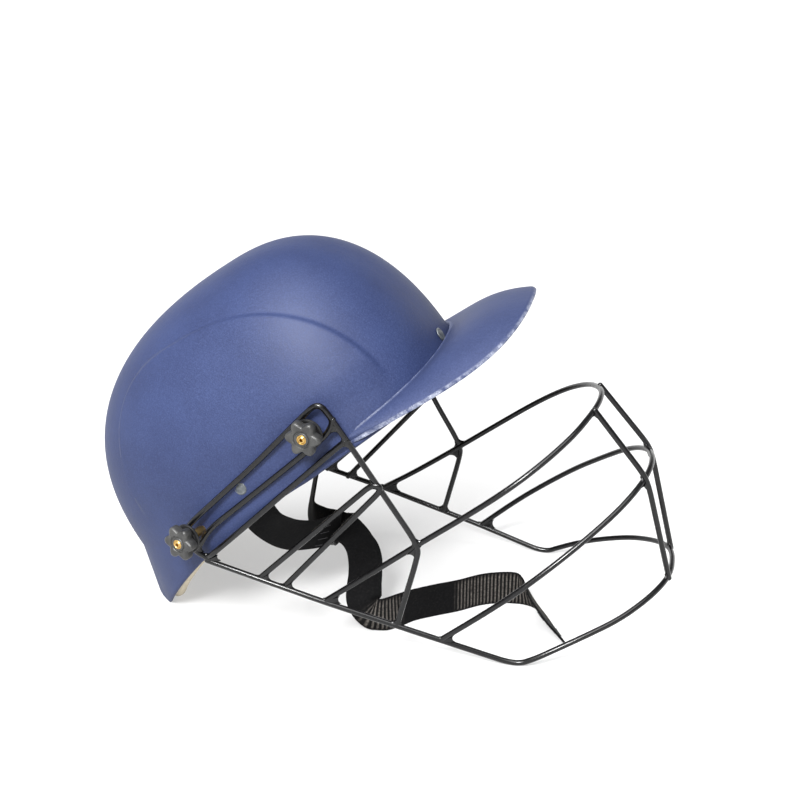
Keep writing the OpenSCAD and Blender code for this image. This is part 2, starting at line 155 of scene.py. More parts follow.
def hem_z(a, inset):
    x = plan_x(a, inset) * (1 + swell(a) + flare(a) - tuck(a))
    floor_z = -(HELMET_Z + x * math.sin(TILT)) / math.cos(TILT)
    return np.maximum(-BROW_DROP - NAPE_DROP * rearness(a) ** HEM_POWER, floor_z)


def skin_point(a, k, inset):
    """k runs from 0 at the crown to 1 at the brim plane and to 2 at the hem; a is in degrees."""
    a = np.radians(a)
    k = np.asarray(k, float)
    q = np.radians(90 * np.minimum(k, 1))
    u = np.maximum(k - 1, 0)
    dome_r = spow(np.sin(q), 2 / DOME_N) * (1 + swell(a) * np.minimum(k, 1) ** 6)
    r = np.where(k <= 1, dome_r, 1 + swell(a) + flare(a) * u - tuck(a) * u * u)
    dome_z = (CROWN_H - inset) * spow(np.cos(q), 2 / DOME_N)
    z = np.where(k <= 1, dome_z, u * hem_z(a, inset))
    return np.stack([plan_x(a, inset) * r, plan_y(a, inset) * r, z], axis=-1)


def worn(p):
    """Helmet coordinates to rest coordinates."""
    p = np.asarray(p, float)
    c, s = math.cos(TILT), math.sin(TILT)
    x = p[..., 0] * c - p[..., 2] * s + HELMET_X + CENTRE_X
    z = p[..., 0] * s + p[..., 2] * c + HELMET_Z
    return np.stack([x, p[..., 1], z], axis=-1)


def laid(p):
    return np.asarray(p, float) + np.array([CENTRE_X, 0, 0])


def unit(v):
    v = np.asarray(v, float)
    return v / np.maximum(np.linalg.norm(v, axis=-1, keepdims=True), 1e-12)


# Mesh helpers

SHARP_ANGLE = math.radians(38)


def mesh_piece(name, points, faces, material, body, slot, stands_for=()):
    """One mesh piece in rest coordinates (mm), with outward normals, on its CAD body."""
    mesh = bpy.data.meshes.new(name)
    mesh.from_pydata([tuple(p) for p in np.asarray(points, float) * MM], [], faces)
    piece = bpy.data.objects.new(name, mesh)
    bpy.context.scene.collection.objects.link(piece)
    work = bmesh.new()
    work.from_mesh(mesh)
    bmesh.ops.remove_doubles(work, verts=work.verts, dist=1e-6)
    bmesh.ops.recalc_face_normals(work, faces=work.faces)
    work.to_mesh(mesh)
    work.free()
    mesh.polygons.foreach_set("use_smooth", [True] * len(mesh.polygons))
    mesh.set_sharp_from_angle(angle=SHARP_ANGLE)
    mesh.materials.append(material)
    if stands_for:
        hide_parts(*stands_for)
    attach(piece, body)
    return piece


def grid_faces(rows, cols, wrap=False, start=0):
    faces = []
    for i in range(rows - 1):
        for j in range(cols if wrap else cols - 1):
            k = (j + 1) % cols
            a, b = start + i * cols + j, start + i * cols + k
            faces.append((a, b, b + cols, a + cols))
    return faces


def joined(parts):
    """Several (points, faces) as one."""
    points, faces, n = [], [], 0
    for p, f in parts:
        p = np.asarray(p, float).reshape(-1, 3)
        points.append(p)
        faces += [tuple(i + n for i in face) for face in f]
        n += len(p)
    return np.concatenate(points), faces


def loft(rings, closed_ends=True):
    rings = np.asarray(rings, float)
    n, w = rings.shape[:2]
    faces = grid_faces(n, w, wrap=True)
    if closed_ends:
        faces.append(tuple(range(w)))
        faces.append(tuple((n - 1) * w + j for j in range(w)))
    return rings.reshape(-1, 3), faces


def lathe(profile, steps=64):
    """Revolved (radius, height) profile about the local z axis; the ends are closed."""
    t = np.linspace(0, 2 * math.pi, steps, endpoint=False)
    rings = [
        np.stack([r * np.cos(t), r * np.sin(t), np.full(steps, z)], axis=-1)
        for r, z in profile
    ]
    return loft(rings)


def rounded(route, reach, steps=8):
    """Replaces each inner corner of a route by a short curve."""
    p = [np.asarray(q, float) for q in route]
    out = [p[0]]
    for before, here, after in zip(p, p[1:], p[2:]):
        a_len, b_len = np.linalg.norm(here - before), np.linalg.norm(after - here)
        a = here - min(reach, a_len / 2.05) * unit(here - before)
        b = here + min(reach, b_len / 2.05) * unit(after - here)
        for t in np.linspace(0, 1, steps + 1):
            out.append(a * (1 - t) ** 2 + here * 2 * t * (1 - t) + b * t * t)
    out.append(p[-1])
    return np.array(out)


def resampled(route, step):
    route = np.asarray(route, float)
    steps = np.linalg.norm(np.diff(route[:, :3], axis=0), axis=1)
    length = np.concatenate([[0], np.cumsum(steps)])
    n = max(2, int(round(length[-1] / step)) + 1)
    at = np.linspace(0, length[-1], n)
    return np.stack([np.interp(at, length, route[:, i]) for i in range(route.shape[1])], axis=-1)


def catmull(points, step):
    """A smooth curve through every column of points, at an even step."""
    p = np.asarray(points, float)
    p = np.vstack([2 * p[0] - p[1], p, 2 * p[-1] - p[-2]])
    out = []
    for a, b, c, d in zip(p, p[1:], p[2:], p[3:]):
        for t in np.linspace(0, 1, 16, endpoint=False):
            out.append(0.5 * (2 * b + (c - a) * t + (2 * a - 5 * b + 4 * c - d) * t ** 2
                              + (3 * b - a - 3 * c + d) * t ** 3))
    out.append(p[-2])
    return resampled(out, step)


def tangents(p):
    t = np.gradient(p, axis=0)
    return unit(t)


def tube(path, radius, sides=20):
    """A round wire along a path, with domed ends."""
    path = np.asarray(path, float)
    keep = np.concatenate([[True], np.linalg.norm(np.diff(path, axis=0), axis=1) > 0.02])
    path = path[keep]
    t = tangents(path)
    u = unit(np.cross(t[0], [0.31, 0.52, 0.79]))
    turn = np.linspace(0, 2 * math.pi, sides, endpoint=False)
    rings = []
    for i, (p, d) in enumerate(zip(path, t)):
        u = unit(u - d * np.dot(u, d))
        v = np.cross(d, u)
        ring = np.outer(np.cos(turn), u) + np.outer(np.sin(turn), v)
        if i == 0:
            for dome in (80, 55, 28):
                w = math.radians(dome)
                rings.append(p - d * radius * math.sin(w) + ring * radius * math.cos(w))
        rings.append(p + radius * ring)
        if i == len(path) - 1:
            for dome in (28, 55, 80):
                w = math.radians(dome)
                rings.append(p + d * radius * math.sin(w) + ring * radius * math.cos(w))
    return loft(rings)


def mirrored(p):
    return [(x, -y, z) for x, y, z in p[::-1]]


def on_side(p, side):
    return np.asarray(p, float) * np.array([1, SIDES[side], 1])


# Materials

class Look:
    """A principled material with procedural colour and relief in object coordinates."""

    def __init__(self, name, colour, rough, metal=0.0, coat=0.0, sheen=0.0, specular=0.5):
        self.material = bpy.data.materials.new(name)
        self.material.use_nodes = True
        self.nodes = self.material.node_tree.nodes
        self.links = self.material.node_tree.links
        self.shader = self.nodes["Principled BSDF"]
        self.put("Base Color", (*colour, 1))
        self.put("Roughness", rough)
        self.put("Metallic", metal)
        self.put("Coat Weight", coat)
        self.put("Coat Roughness", 0.25)
        self.put("Sheen Weight", sheen)
        self.put("Specular IOR Level", specular)
        self.coords = self.nodes.new("ShaderNodeTexCoord")
        self.last_normal = None

    def put(self, socket, value):
        self.shader.inputs[socket].default_value = value

    def texture(self, kind, scale, detail=3.0, stretch=None):
        tex = self.nodes.new(kind)
        tex.inputs["Scale"].default_value = scale
        if "Detail" in tex.inputs:
            tex.inputs["Detail"].default_value = detail
        source = self.coords.outputs["Object"]
        if stretch:
            mapping = self.nodes.new("ShaderNodeMapping")
            mapping.inputs["Scale"].default_value = stretch
            self.links.new(source, mapping.inputs["Vector"])
            source = mapping.outputs["Vector"]
        self.links.new(source, tex.inputs["Vector"])
        return tex.outputs[0]

    def ramp(self, value, stops):
        ramp = self.nodes.new("ShaderNodeValToRGB")
        ramp.color_ramp.elements[0].position = stops[0][0]
        ramp.color_ramp.elements[0].color = (*stops[0][1], 1)
        ramp.color_ramp.elements[1].position = stops[-1][0]
        ramp.color_ramp.elements[1].color = (*stops[-1][1], 1)
        for at, colour in stops[1:-1]:
            ramp.color_ramp.elements.new(at).color = (*colour, 1)
        self.links.new(value, ramp.inputs["Fac"])
        return ramp.outputs["Color"]

    def mix(self, factor, a, b, mode="MIX"):
        mix = self.nodes.new("ShaderNodeMix")
        mix.data_type = "RGBA"
        mix.blend_type = mode
        colour_in = [s for s in mix.inputs if s.type == "RGBA"]
        if isinstance(factor, float):
            mix.inputs["Factor"].default_value = factor
        else:
            self.links.new(factor, mix.inputs["Factor"])
        self.links.new(a, colour_in[0])
        self.links.new(b, colour_in[1])
        return [s for s in mix.outputs if s.type == "RGBA"][0]

    def colour(self, socket):
        self.links.new(socket, self.shader.inputs["Base Color"])

    def rough(self, value, low, high):
        spread = self.nodes.new("ShaderNodeMapRange")
        spread.inputs["To Min"].default_value = low
        spread.inputs["To Max"].default_value = high
        self.links.new(value, spread.inputs["Value"])
        self.links.new(spread.outputs["Result"], self.shader.inputs["Roughness"])

    def relief(self, height, depth_mm, strength):
        bump = self.nodes.new("ShaderNodeBump")
        bump.inputs["Distance"].default_value = depth_mm * MM
        bump.inputs["Strength"].default_value = strength
        self.links.new(height, bump.inputs["Height"])
        if self.last_normal:
            self.links.new(self.last_normal, bump.inputs["Normal"])
        self.last_normal = bump.outputs["Normal"]
        self.links.new(self.last_normal, self.shader.inputs["Normal"])

    def attribute(self, name):
        node = self.nodes.new("ShaderNodeAttribute")
        node.attribute_name = name
        return node.outputs["Color"]


def srgb(*values):
    return tuple(
        v / 255 / 12.92 if v / 255 <= 0.04045 else ((v / 255 + 0.055) / 1.055) ** 2.4
        for v in values
    )


NOISE, VORONOI, WAVE = "ShaderNodeTexNoise", "ShaderNodeTexVoronoi", "ShaderNodeTexWave"


def blue_look(name, dark, mid, light, wear_and_highlight_tint):
    look = Look(name, mid, 0.58, specular=0.3)
    pebble = look.texture(NOISE, 1100, 3)
    cloudy = look.texture(NOISE, 30, 5)
    fine = look.ramp(pebble, [(0.3, dark), (0.5, mid), (0.74, light)])
    broad = look.ramp(cloudy, [(0.3, dark), (0.7, mid)])
    colour = look.mix(0.5, fine, broad)
    # Real wear and painted highlight: a per-vertex amount, broken up by noise, mixes in a pale tint. It marks
    # rubbed paint along the peak's edge and a painted highlight along the peak's root lip.
    patch_noise = look.texture(NOISE, 190, 6)
    patchy = look.ramp(patch_noise, [(0.35, (0, 0, 0)), (0.62, (1, 1, 1))])
    wear_and_highlight = look.mix(1.0, look.attribute("wear_and_highlight"), patchy, "MULTIPLY")
    pale = look.ramp(pebble, [(0.3, wear_and_highlight_tint), (0.7, srgb(196, 200, 208))])
    look.colour(look.mix(wear_and_highlight, colour, pale))
    look.rough(pebble, 0.5, 0.66)
    look.relief(pebble, 0.22, 0.5)
    look.relief(look.texture(NOISE, 210, 3), 0.35, 0.4)
    return look.material


def foam_look():
    look = Look("liner_foam", srgb(226, 218, 200), 0.85)
    beads = look.texture(VORONOI, 300)
    look.colour(look.ramp(beads, [(0.05, srgb(206, 198, 180)), (0.75, srgb(176, 166, 146))]))
    look.relief(beads, 0.5, 0.6)
    return look.material


def pad_look():
    look = Look("pad_fabric", srgb(40, 41, 46), 0.9, sheen=0.3)
    knit = look.texture(WAVE, 330)
    cross = look.texture(WAVE, 330, stretch=(0.2, 1, 1.4))
    soft = look.texture(NOISE, 60, 3)
    look.colour(look.ramp(soft, [(0.35, srgb(30, 31, 36)), (0.7, srgb(56, 58, 64))]))
    look.relief(knit, 0.2, 0.4)
    look.relief(cross, 0.2, 0.4)
    return look.material


def thread_look():
    look = Look("thread", srgb(30, 30, 33), 0.75)
    look.colour(look.ramp(look.texture(NOISE, 900, 2), [(0.3, srgb(20, 20, 22)), (0.7, srgb(46, 46, 49))]))
    return look.material


def wire_look():
    look = Look("black_wire", srgb(6, 6, 7), 0.3, coat=0.1, specular=0.32)
    grain = look.texture(NOISE, 420, 3)
    look.colour(look.ramp(grain, [(0.35, srgb(3, 3, 4)), (0.75, srgb(12, 12, 13))]))
    look.rough(look.texture(NOISE, 90, 3), 0.16, 0.28)
    look.relief(grain, 0.06, 0.5)
    return look.material


def plastic_look(name, dark, light, rough):
    look = Look(name, dark, rough, specular=0.5)
    grain = look.texture(NOISE, 800, 3)
    patchy = look.texture(NOISE, 120, 4)
    look.colour(look.ramp(patchy, [(0.35, dark), (0.72, light)]))
    look.rough(patchy, rough - 0.08, rough + 0.12)
    look.relief(grain, 0.08, 0.5)
    return look.material


def brass_look():
    look = Look("brass", srgb(190, 156, 92), 0.3, metal=1.0)
    tarnish = look.texture(NOISE, 160, 5)
    dull, plain, bright = srgb(150, 118, 66), srgb(198, 164, 98), srgb(222, 194, 132)
    look.colour(look.ramp(tarnish, [(0.3, dull), (0.55, plain), (0.8, bright)]))
    look.rough(tarnish, 0.22, 0.48)
    look.relief(look.texture(NOISE, 900, 2), 0.03, 0.5)
    return look.material


def rivet_look():
    look = Look("grey_rivet", srgb(112, 116, 120), 0.42, metal=0.35)
    worn_paint = look.texture(NOISE, 240, 5)
    dark, mid, light = srgb(62, 66, 70), srgb(86, 90, 92), srgb(120, 123, 125)
    look.colour(look.ramp(worn_paint, [(0.3, dark), (0.6, mid), (0.85, light)]))
    look.rough(worn_paint, 0.3, 0.55)
    return look.material


def webbing_look():
    look = Look("webbing", srgb(8, 8, 9), 0.8, specular=0.1)
    fibre = look.texture(NOISE, 700, 3)
    plain = look.ramp(fibre, [(0.34, srgb(3, 3, 4)), (0.58, srgb(8, 8, 9)), (0.8, srgb(22, 21, 20))])
    # Painted highlight: the rib crests are coloured light grey in place of the light they catch.
    lit_rib_crests = look.ramp(fibre, [(0.3, srgb(58, 55, 52)), (0.7, srgb(112, 107, 102))])
    look.colour(look.mix(look.attribute("wear_and_highlight"), plain, lit_rib_crests))
    look.relief(fibre, 0.16, 0.6)
    return look.material


def glowing_look(name, grey, glow):
    """A matt white that gives off a little light, as on a light table."""
    look = Look(name, (grey, grey, grey), 0.8, specular=0.05)
    look.put("Emission Color", (1, 1, 1, 1))
    look.put("Emission Strength", glow)
    return look.material


SHELL_BLUE = blue_look(
    "shell_blue", srgb(24, 33, 64), srgb(34, 45, 79), srgb(52, 63, 98), srgb(112, 120, 136))
PEAK_BLUE = blue_look(
    "peak_blue", srgb(28, 37, 65), srgb(41, 50, 82), srgb(58, 68, 100), srgb(108, 113, 132))
FOAM, PAD, THREAD = foam_look(), pad_look(), thread_look()
WIRE = wire_look()
BLACK_PLASTIC = plastic_look("black_plastic", srgb(9, 9, 10), srgb(26, 26, 27), 0.4)
WASHER_PLASTIC = plastic_look("washer_plastic", srgb(9, 9, 10), srgb(26, 26, 27), 0.42)
KNOB_PLASTIC = plastic_look("knob_plastic", srgb(27, 27, 27), srgb(52, 52, 51), 0.44)
BRASS, RIVET, WEBBING = brass_look(), rivet_look(), webbing_look()


# Shell, liner and peak

# The first and last steps of the skin; see skin_point
CROWN_K, HEM_K = 0.01, 2.0


def panel_lift(p):
    """How far the raised side panel stands proud of the plain dome, in mm."""
    x, z = p[..., 0], np.maximum(p[..., 2], 0)
    reach = np.where(x > ARCH_X, ARCH_FRONT, ARCH_REAR)
    f = (np.abs(x - ARCH_X) / reach) ** ARCH_N + (z / ARCH_H) ** ARCH_N
    low, high = PANEL_FADE
    return PANEL_PROUD * smooth((1 - f) / PANEL_STEP) * smooth((z - low) / (high - low))


def bowl(inset_out, inset_in, k_out, k_in, steps, lift=None, hem_round=5):
    """A closed bowl with a rounded hem, in helmet coordinates."""
    a = np.linspace(0, 360, steps, endpoint=False)
    half_t = (inset_in - inset_out) / 2
    down = unit(skin_point(a, HEM_K, inset_out) - skin_point(a, HEM_K - 0.15, inset_out))

    def rows(ks, inset):
        out = []
        for k in ks:
            p = skin_point(a, k, inset)
            if k > 1:
                p = p - down * half_t * ((k - 1) / (HEM_K - 1)) ** 2
            out.append(p)
        return out

    outer = rows(k_out, inset_out)
    if lift:
        for i, k in enumerate(k_out):
            n = unit(skin_point(a, k, inset_out) - skin_point(a, k, inset_out + 2))
            outer[i] = outer[i] + n * lift(outer[i])[:, None]
    inner = rows(k_in, inset_in)
    mid, half = (outer[-1] + inner[-1]) / 2, (outer[-1] - inner[-1]) / 2
    hem = []
    for i in range(1, hem_round + 1):
        w = math.pi * i / (hem_round + 1)
        hem.append(mid + half * math.cos(w) + down * half_t * math.sin(w))
    return loft(outer + hem + inner[::-1])


def row_steps(dome, skirt):
    """Steps from the crown to the hem: so many on the dome, and so many on the skirt."""
    return list(np.linspace(CROWN_K, 1, dome)) + list(np.linspace(1, HEM_K, skirt + 1))[1:]


def store_wear_and_highlight(piece, amount):
    """Stores per vertex how much rubbed paint and painted highlight it shows, for the materials to read."""
    layer = piece.data.color_attributes.new("wear_and_highlight", "FLOAT_COLOR", "POINT")
    layer.data.foreach_set("color", np.repeat(amount, 4).astype(np.float32))


def vertex_places(piece):
    """The vertices of a mesh in rest coordinates, in metres."""
    co = np.empty(len(piece.data.vertices) * 3)
    piece.data.vertices.foreach_get("co", co)
    return co.reshape(-1, 3)


def make_shell():
    points, faces = bowl(0, SHELL_T, row_steps(150, 26), row_steps(30, 8), 480, lift=panel_lift)
    shell = mesh_piece("shell_skin", worn(points), faces, SHELL_BLUE, "helmet", "shell_blue", ["shell"])
    store_wear_and_highlight(shell, np.zeros(len(shell.data.vertices)))


def make_liner():
    points, faces = bowl(LINER_OUT, LINER_IN, row_steps(30, 8), row_steps(60, 14), 240, hem_round=9)
    mesh_piece("impact_liner_foam", worn(points), faces, FOAM, "helmet", "liner_foam", ["impact_liner"])


def peak_root(a, lift):
    z = PEAK_ROOT_Z * np.maximum(np.cos(np.radians(a * 90 / PEAK_SPAN)), 0) ** 0.35
    r = (1 - (z / CROWN_H) ** DOME_N) ** (1 / DOME_N)
    t = np.radians(a)
    return np.stack([plan_x(t, PEAK_SINK) * r, plan_y(t, PEAK_SINK) * r, z + lift], axis=-1)


def peak_edge(a, lift):
    b = np.radians(a * 90 / PEAK_SPAN)
    c = np.maximum(np.cos(b), 0)
    x = PEAK_CORNER_X + (PEAK_REACH - PEAK_CORNER_X) * c ** (2 / PEAK_N)
    y = PEAK_EDGE_HALF_W * spow(np.sin(b), 2 / PEAK_N)
    z = 1 - PEAK_DIP * np.sin(2 * b) ** 2 + PEAK_LIFT * c ** 4 + lift
    return np.stack([x, y, z], axis=-1)


def peak_point(a, t, lift):
    p, q = peak_root(a, lift), peak_edge(a, lift)
    c = np.maximum(np.cos(np.radians(a * 90 / PEAK_SPAN)), 0)
    bow = PEAK_ARCH * 2 * t * (1 - t) * c ** 2
    out = p * (1 - t) + q * t
    out[..., 2] = out[..., 2] + bow
    return out


# Chips in the peak's edge: angle, width in degrees and depth in mm
PEAK_CHIPS = ((-71.5, 0.8, 1.3), (-67.0, 0.5, 0.6), (-60.5, 0.7, 0.5), (-33.0, 0.5, 0.4), (48.0, 0.6, 0.5))
LIP_T, LIP_H = 0.055, 1.1
# Edge amount: real rubbed paint. Root amount: a painted highlight where the lip catches the light.
EDGE_WEAR, ROOT_HIGHLIGHT = 0.5, 0.16


def peak_wear_and_highlight(p, edge_line, root_line):
    """Paint rubbed off along the peak's edge, and a weaker painted highlight along its root lip."""
    out = np.zeros(len(p))
    batch = 4000
    for lo in range(0, len(p), batch):
        part = p[lo:lo + batch]
        to_edge = np.linalg.norm(part[:, None] - edge_line[None], axis=2).min(axis=1)
        to_root = np.linalg.norm(part[:, None] - root_line[None], axis=2).min(axis=1)
        at_edge = EDGE_WEAR * smooth((1.9 - to_edge) / 1.0)
        # Painted highlight along the root lip.
        root_highlight = ROOT_HIGHLIGHT * smooth((1.4 - to_root) / 1.0)
        out[lo:lo + batch] = np.maximum(at_edge, root_highlight)
    return out


def make_peak():
    cols = 420
    a = PEAK_SPAN * np.sin(np.linspace(-math.pi / 2, math.pi / 2, cols))
    a = 0.5 * a + 0.5 * np.linspace(-PEAK_SPAN, PEAK_SPAN, cols)
    end = np.clip((PEAK_SPAN - np.abs(a)) / 1.4, 0, 1)
    thick = PEAK_T * np.sqrt(np.maximum(1 - (1 - end) ** 2, 0.02))
    stretches = ((0, 0.12, 16), (0.12, 0.96, 56), (0.96, 1, 6))
    ts = np.concatenate([[0]] + [np.linspace(*stretch)[1:] for stretch in stretches])
    mid_z = PEAK_T / 2
    chip = sum(depth * np.exp(-((a - at) / width) ** 2) for at, width, depth in PEAK_CHIPS)
    outward = unit(peak_edge(a, mid_z) - peak_root(a, mid_z))

    def row(t, side):
        p = peak_point(a, t, mid_z)
        nose = math.sqrt(max(1 - max((t - 0.975) / 0.025, 0) ** 2, 0))
        p[..., 2] += side * thick / 2 * nose
        if side > 0:
            lip = smooth(1 - abs(t - LIP_T * 0.55) / (LIP_T * 0.6)) * LIP_H
            p[..., 2] += lip * end
        p -= outward * (chip * smooth((t - 0.9) / 0.1))[:, None]
        return p

    rings = [row(t, 1) for t in ts] + [row(t, -1) for t in ts[::-1]]
    rings = np.array(rings).transpose(1, 0, 2)
    points, faces = loft(rings)
    peak = mesh_piece("peak_skin", worn(points), faces, PEAK_BLUE, "helmet", "peak_blue", ["peak"])
    edge_line = worn(peak_edge(a, mid_z))
    root_line = worn(peak_point(a, LIP_T * 0.5, PEAK_T + LIP_H))
    store_wear_and_highlight(peak, peak_wear_and_highlight(vertex_places(peak) / MM, edge_line, root_line))


# Comfort pads

# Half-width of a sewn channel, as a share of half the pad
CHANNEL = 0.05
PAD_GAP, PAD_FILL = 0.3, 0.75
PIPING_R, PIPING_STEP, PIPING_SIDES = 1.0, 3, 10
PRESSURE, STUFF_FRAMES = 4, 20
PAD_CAP, CROWN_CAP = 1.6, 1.4


def pad_mesh(a_range, k_range, cols, rows, inset_out, inset_in, quilt, mirror=1):
    """A crowned pad in helmet coordinates: back face on the liner, front face sewn in channels."""
    a = np.linspace(*a_range, cols)
    k = np.linspace(*k_range, rows)
    aa, kk = np.meshgrid(a, k)
    u = np.linspace(-1, 1, cols)[None, :]
    v = np.linspace(-1, 1, rows)[:, None]
    crown = np.minimum((1 - np.abs(u) ** 10) * (1 - v ** 6), 1) ** 0.5
    seam = np.ones_like(u)
    for at in quilt:
        seam = seam * (1 - 0.5 * np.exp(-((u - at) / CHANNEL) ** 2))
    depth = (inset_in - inset_out) * np.clip(crown * seam, 0.06, 1)
    back = skin_point(aa, kk, inset_out)
    inward = unit(skin_point(aa, kk, inset_out + 3) - back)
    front = back + inward * depth[..., None]
    points = np.concatenate([front.reshape(-1, 3), back.reshape(-1, 3)])
    points[:, 1] *= mirror
    m = rows * cols
    faces = grid_faces(rows, cols) + [f[::-1] for f in grid_faces(rows, cols, start=m)]
    border = list(range(cols)) + [i * cols + cols - 1 for i in range(1, rows)]
    border += list(range(m - 2, m - cols - 1, -1)) + [i * cols for i in range(rows - 2, 0, -1)]
    for p, q in zip(border, border[1:] + border[:1]):
        faces.append((p, q, q + m, p + m))
    sewn = (depth < 0.62 * (inset_in - inset_out)).reshape(-1)
    return points, faces, border, np.concatenate([sewn, np.ones(m, bool)])


def rounded_places(points):
    """Points in mm as a set that a vertex's own place can be looked up in."""
    return {tuple(np.round(p, 2)) for p in points}


def stuff(piece, held_places, cap):
    """Inflates a pad by a short cloth simulation, with its back and seams held, and keeps the result."""
    base = vertex_places(piece)
    held = piece.vertex_groups.new(name="held")
    for i, co in enumerate(base):
        if tuple(np.round(co / MM, 2)) in held_places:
            held.add([i], 1.0, "REPLACE")
    cloth = piece.modifiers.new("stuff", "CLOTH")
    cloth.settings.use_pressure = True
    cloth.settings.uniform_pressure_force = PRESSURE
    cloth.settings.vertex_group_mass = "held"
    cloth.settings.effector_weights.gravity = 0
    cloth.point_cache.frame_start = 1
    cloth.point_cache.frame_end = STUFF_FRAMES
    scene = bpy.context.scene
    for f in range(1, STUFF_FRAMES + 1):
        scene.frame_set(f)
    settled = piece.evaluated_get(bpy.context.evaluated_depsgraph_get()).to_mesh()
    co = np.empty(len(settled.vertices) * 3)
    settled.vertices.foreach_get("co", co)
    move = co.reshape(-1, 3) - base
    far = np.linalg.norm(move, axis=1, keepdims=True)
    move *= np.minimum(1, cap * MM / np.maximum(far, 1e-9))
    piece.modifiers.remove(cloth)
    piece.data.vertices.foreach_set("co", (base + move).reshape(-1))
    piece.data.update()
    scene.frame_set(1)


def finish_pad(name, node, points, faces, held_places, cap, rim):
    """Turns a pad's plain form into a stuffed, smoothed pad with piping round its rim."""
    pad = mesh_piece(name, points, faces, PAD, "helmet", "pad_fabric", [node])
    stuff(pad, held_places, cap)
    soft = pad.modifiers.new("smooth", "SUBSURF")
    soft.levels = soft.render_levels = 1
    cord, cord_faces = tube(resampled(rim, PIPING_STEP), PIPING_R, PIPING_SIDES)
    piping = name.removesuffix("_quilted") + "_piping"
    mesh_piece(piping, cord, cord_faces, THREAD, "helmet", "pad_fabric")


def make_pad(name, node, a_range, k_range, cols, rows, quilt, mirror=1):
    points, faces, border, sewn = pad_mesh(
        a_range, k_range, cols, rows, LINER_IN + PAD_GAP, LINER_IN + PAD_T, quilt, mirror)
    points = worn(points)
    rim = points[border + border[:3]]
    finish_pad(name, node, points, faces, rounded_places(points[sewn]), PAD_CAP, rim)


def make_crown_pad():
    """A round quilted pad under the crown."""
    steps, rings = 64, 12
    a = np.linspace(0, 360, steps, endpoint=False)
    ks = np.linspace(0.03, 0.5, rings)
    front, back = [], []
    for i, k in enumerate(ks):
        u = i / (rings - 1)
        crown = max(1 - u ** 8, 0.0) ** 0.5
        petals = 1 - 0.45 * np.exp(-((((a + 30) % 60) - 30) / 4.5) ** 2) * smooth(np.array(u * 3 - 0.4))
        depth = (PAD_T - PAD_GAP) * np.clip(crown * petals, 0.06, 1)
        base = skin_point(a, k, LINER_IN + PAD_GAP)
        inward = unit(skin_point(a, k, LINER_IN + PAD_GAP + 3) - base)
        back.append(base)
        front.append(base + inward * depth[:, None])
    points, faces = loft(np.array(front + back[::-1]))
    held = rounded_places(worn(np.array(back)).reshape(-1, 3)) | rounded_places(worn(front[-1]))
    rim = worn(np.vstack([front[-1], front[-1][:2]]))
    finish_pad("crown_pad_quilted", "crown_pad", worn(points), faces, held, CROWN_CAP, rim)


def make_pads():
    make_crown_pad()
    make_pad("front_sweatband_pad", "front_sweatband", (-62, 62), (0.78, 1.0), 61, 11, (-0.5, 0, 0.5))
    make_pad("nape_pad_soft", "nape_pad", (150, 210), (0.85, 1.45), 31, 17, (0,))
    make_pad("side_pad_left", "side_pads", (78, 138), (0.72, 1.0), 35, 15, (0,))
    make_pad("side_pad_right", "side_pads", (78, 138), (0.72, 1.0), 35, 15, (0,), mirror=-1)


# Faceguard: wire routes on the left side, in rest coordinates

SIDE_LOOP = [
    (-103, 94, 64), (-114, 95.5, 71), (-121, 96.3, 81), (-116, 96.8, 91),
    (-66, 98.7, 142), (-31, 99.8, 181), (-20, 100, 192), (-11, 99.6, 180),
    (-2, 97.5, 165), (20, 89, 125), (44, 85.5, 86), (43, 86, 76), (30, 90.5, 25.5),
]
SLOT_LOWER = [
    (-111, 95.2, 72), (-105.4, 96, 82), (-99, 96.5, 91.2), (-70.3, 97.5, 117.2),
    (-33.7, 99, 151.1), (-21, 99.4, 163.3), (-15, 99.6, 169.5), (-12, 99.5, 175.5),
    (-10.5, 99.4, 180),
]
RIM = [
    (-103, 94.5, 66.5), (-99, 96.4, 70.5), (-75, 98.2, 94), (-50, 98.7, 119),
    (-25, 98.8, 143.5), (-6, 98.4, 162.5), (-2, 97.5, 165),
]
HALF_FRAME = [
    (-105, 94, 63), (-20, 94, 39.5), (60, 89, 16.6), (113, 84, 0.5), (126, 83.5, 6.6),
    (140, 80, 14), (157, 74, 22), (180, 63, 32), (197, 47, 40), (208, 31, 45.5),
    (213.5, 14, 48),
]
CHEEK = [(-67.5, 93, 52.5), (14, 92.2, 133), (21, 91.8, 130), (-50, 92.5, 47.5)]
HALF_UPPER = [
    (-19.5, 93.5, 41), (5, 88.5, 58), (44, 84, 87), (75, 83, 110), (104, 79, 132),
    (126, 67, 149), (142, 49, 161), (151, 29, 168), (156, 10, 171.5),
]
HALF_LOWER = [
    (61.5, 89, 17.4), (90, 91, 41.5), (113, 88, 60), (136, 80, 79), (156, 68, 95),
    (173, 55, 109), (184, 40, 118), (191, 24, 123.5), (194, 8, 126),
]
FRONT_UPRIGHT = [(153.6, 24, 170.4), (190, 27, 126.5), (194, 27, 117), (212, 23, 47)]

SIDE_WIRES = {
    "side_loop_wire": (SIDE_LOOP, WIDE_BEND),
    "slot_lower_wire": (SLOT_LOWER, WIDE_BEND),
    "rim_wire": (RIM, WIDE_BEND),
    "cheek_hairpin": (CHEEK, TIGHT_BEND),
    "front_upright": (FRONT_UPRIGHT, TIGHT_BEND),
}
ACROSS_WIRES = {
    "lower_frame_wire": (HALF_FRAME, 13),
    "upper_front_bar": (HALF_UPPER, LONG_BEND),
    "lower_front_bar": (HALF_LOWER, LONG_BEND),
}

WELD_R = {"right": 3.2, "left": 4.6}
WELD_REACH = 15
WELD_HALF_T = 1.8
WELD_MIN_R = 0.5
JOINT_GAP = 5.4
WAY_STEPS, WAY_MIN = 7, 4
BEND_STEPS = 10
# Cosines between which two wires form a corner that a weld can fill
CORNER_COSINES = (-0.9, 0.96)


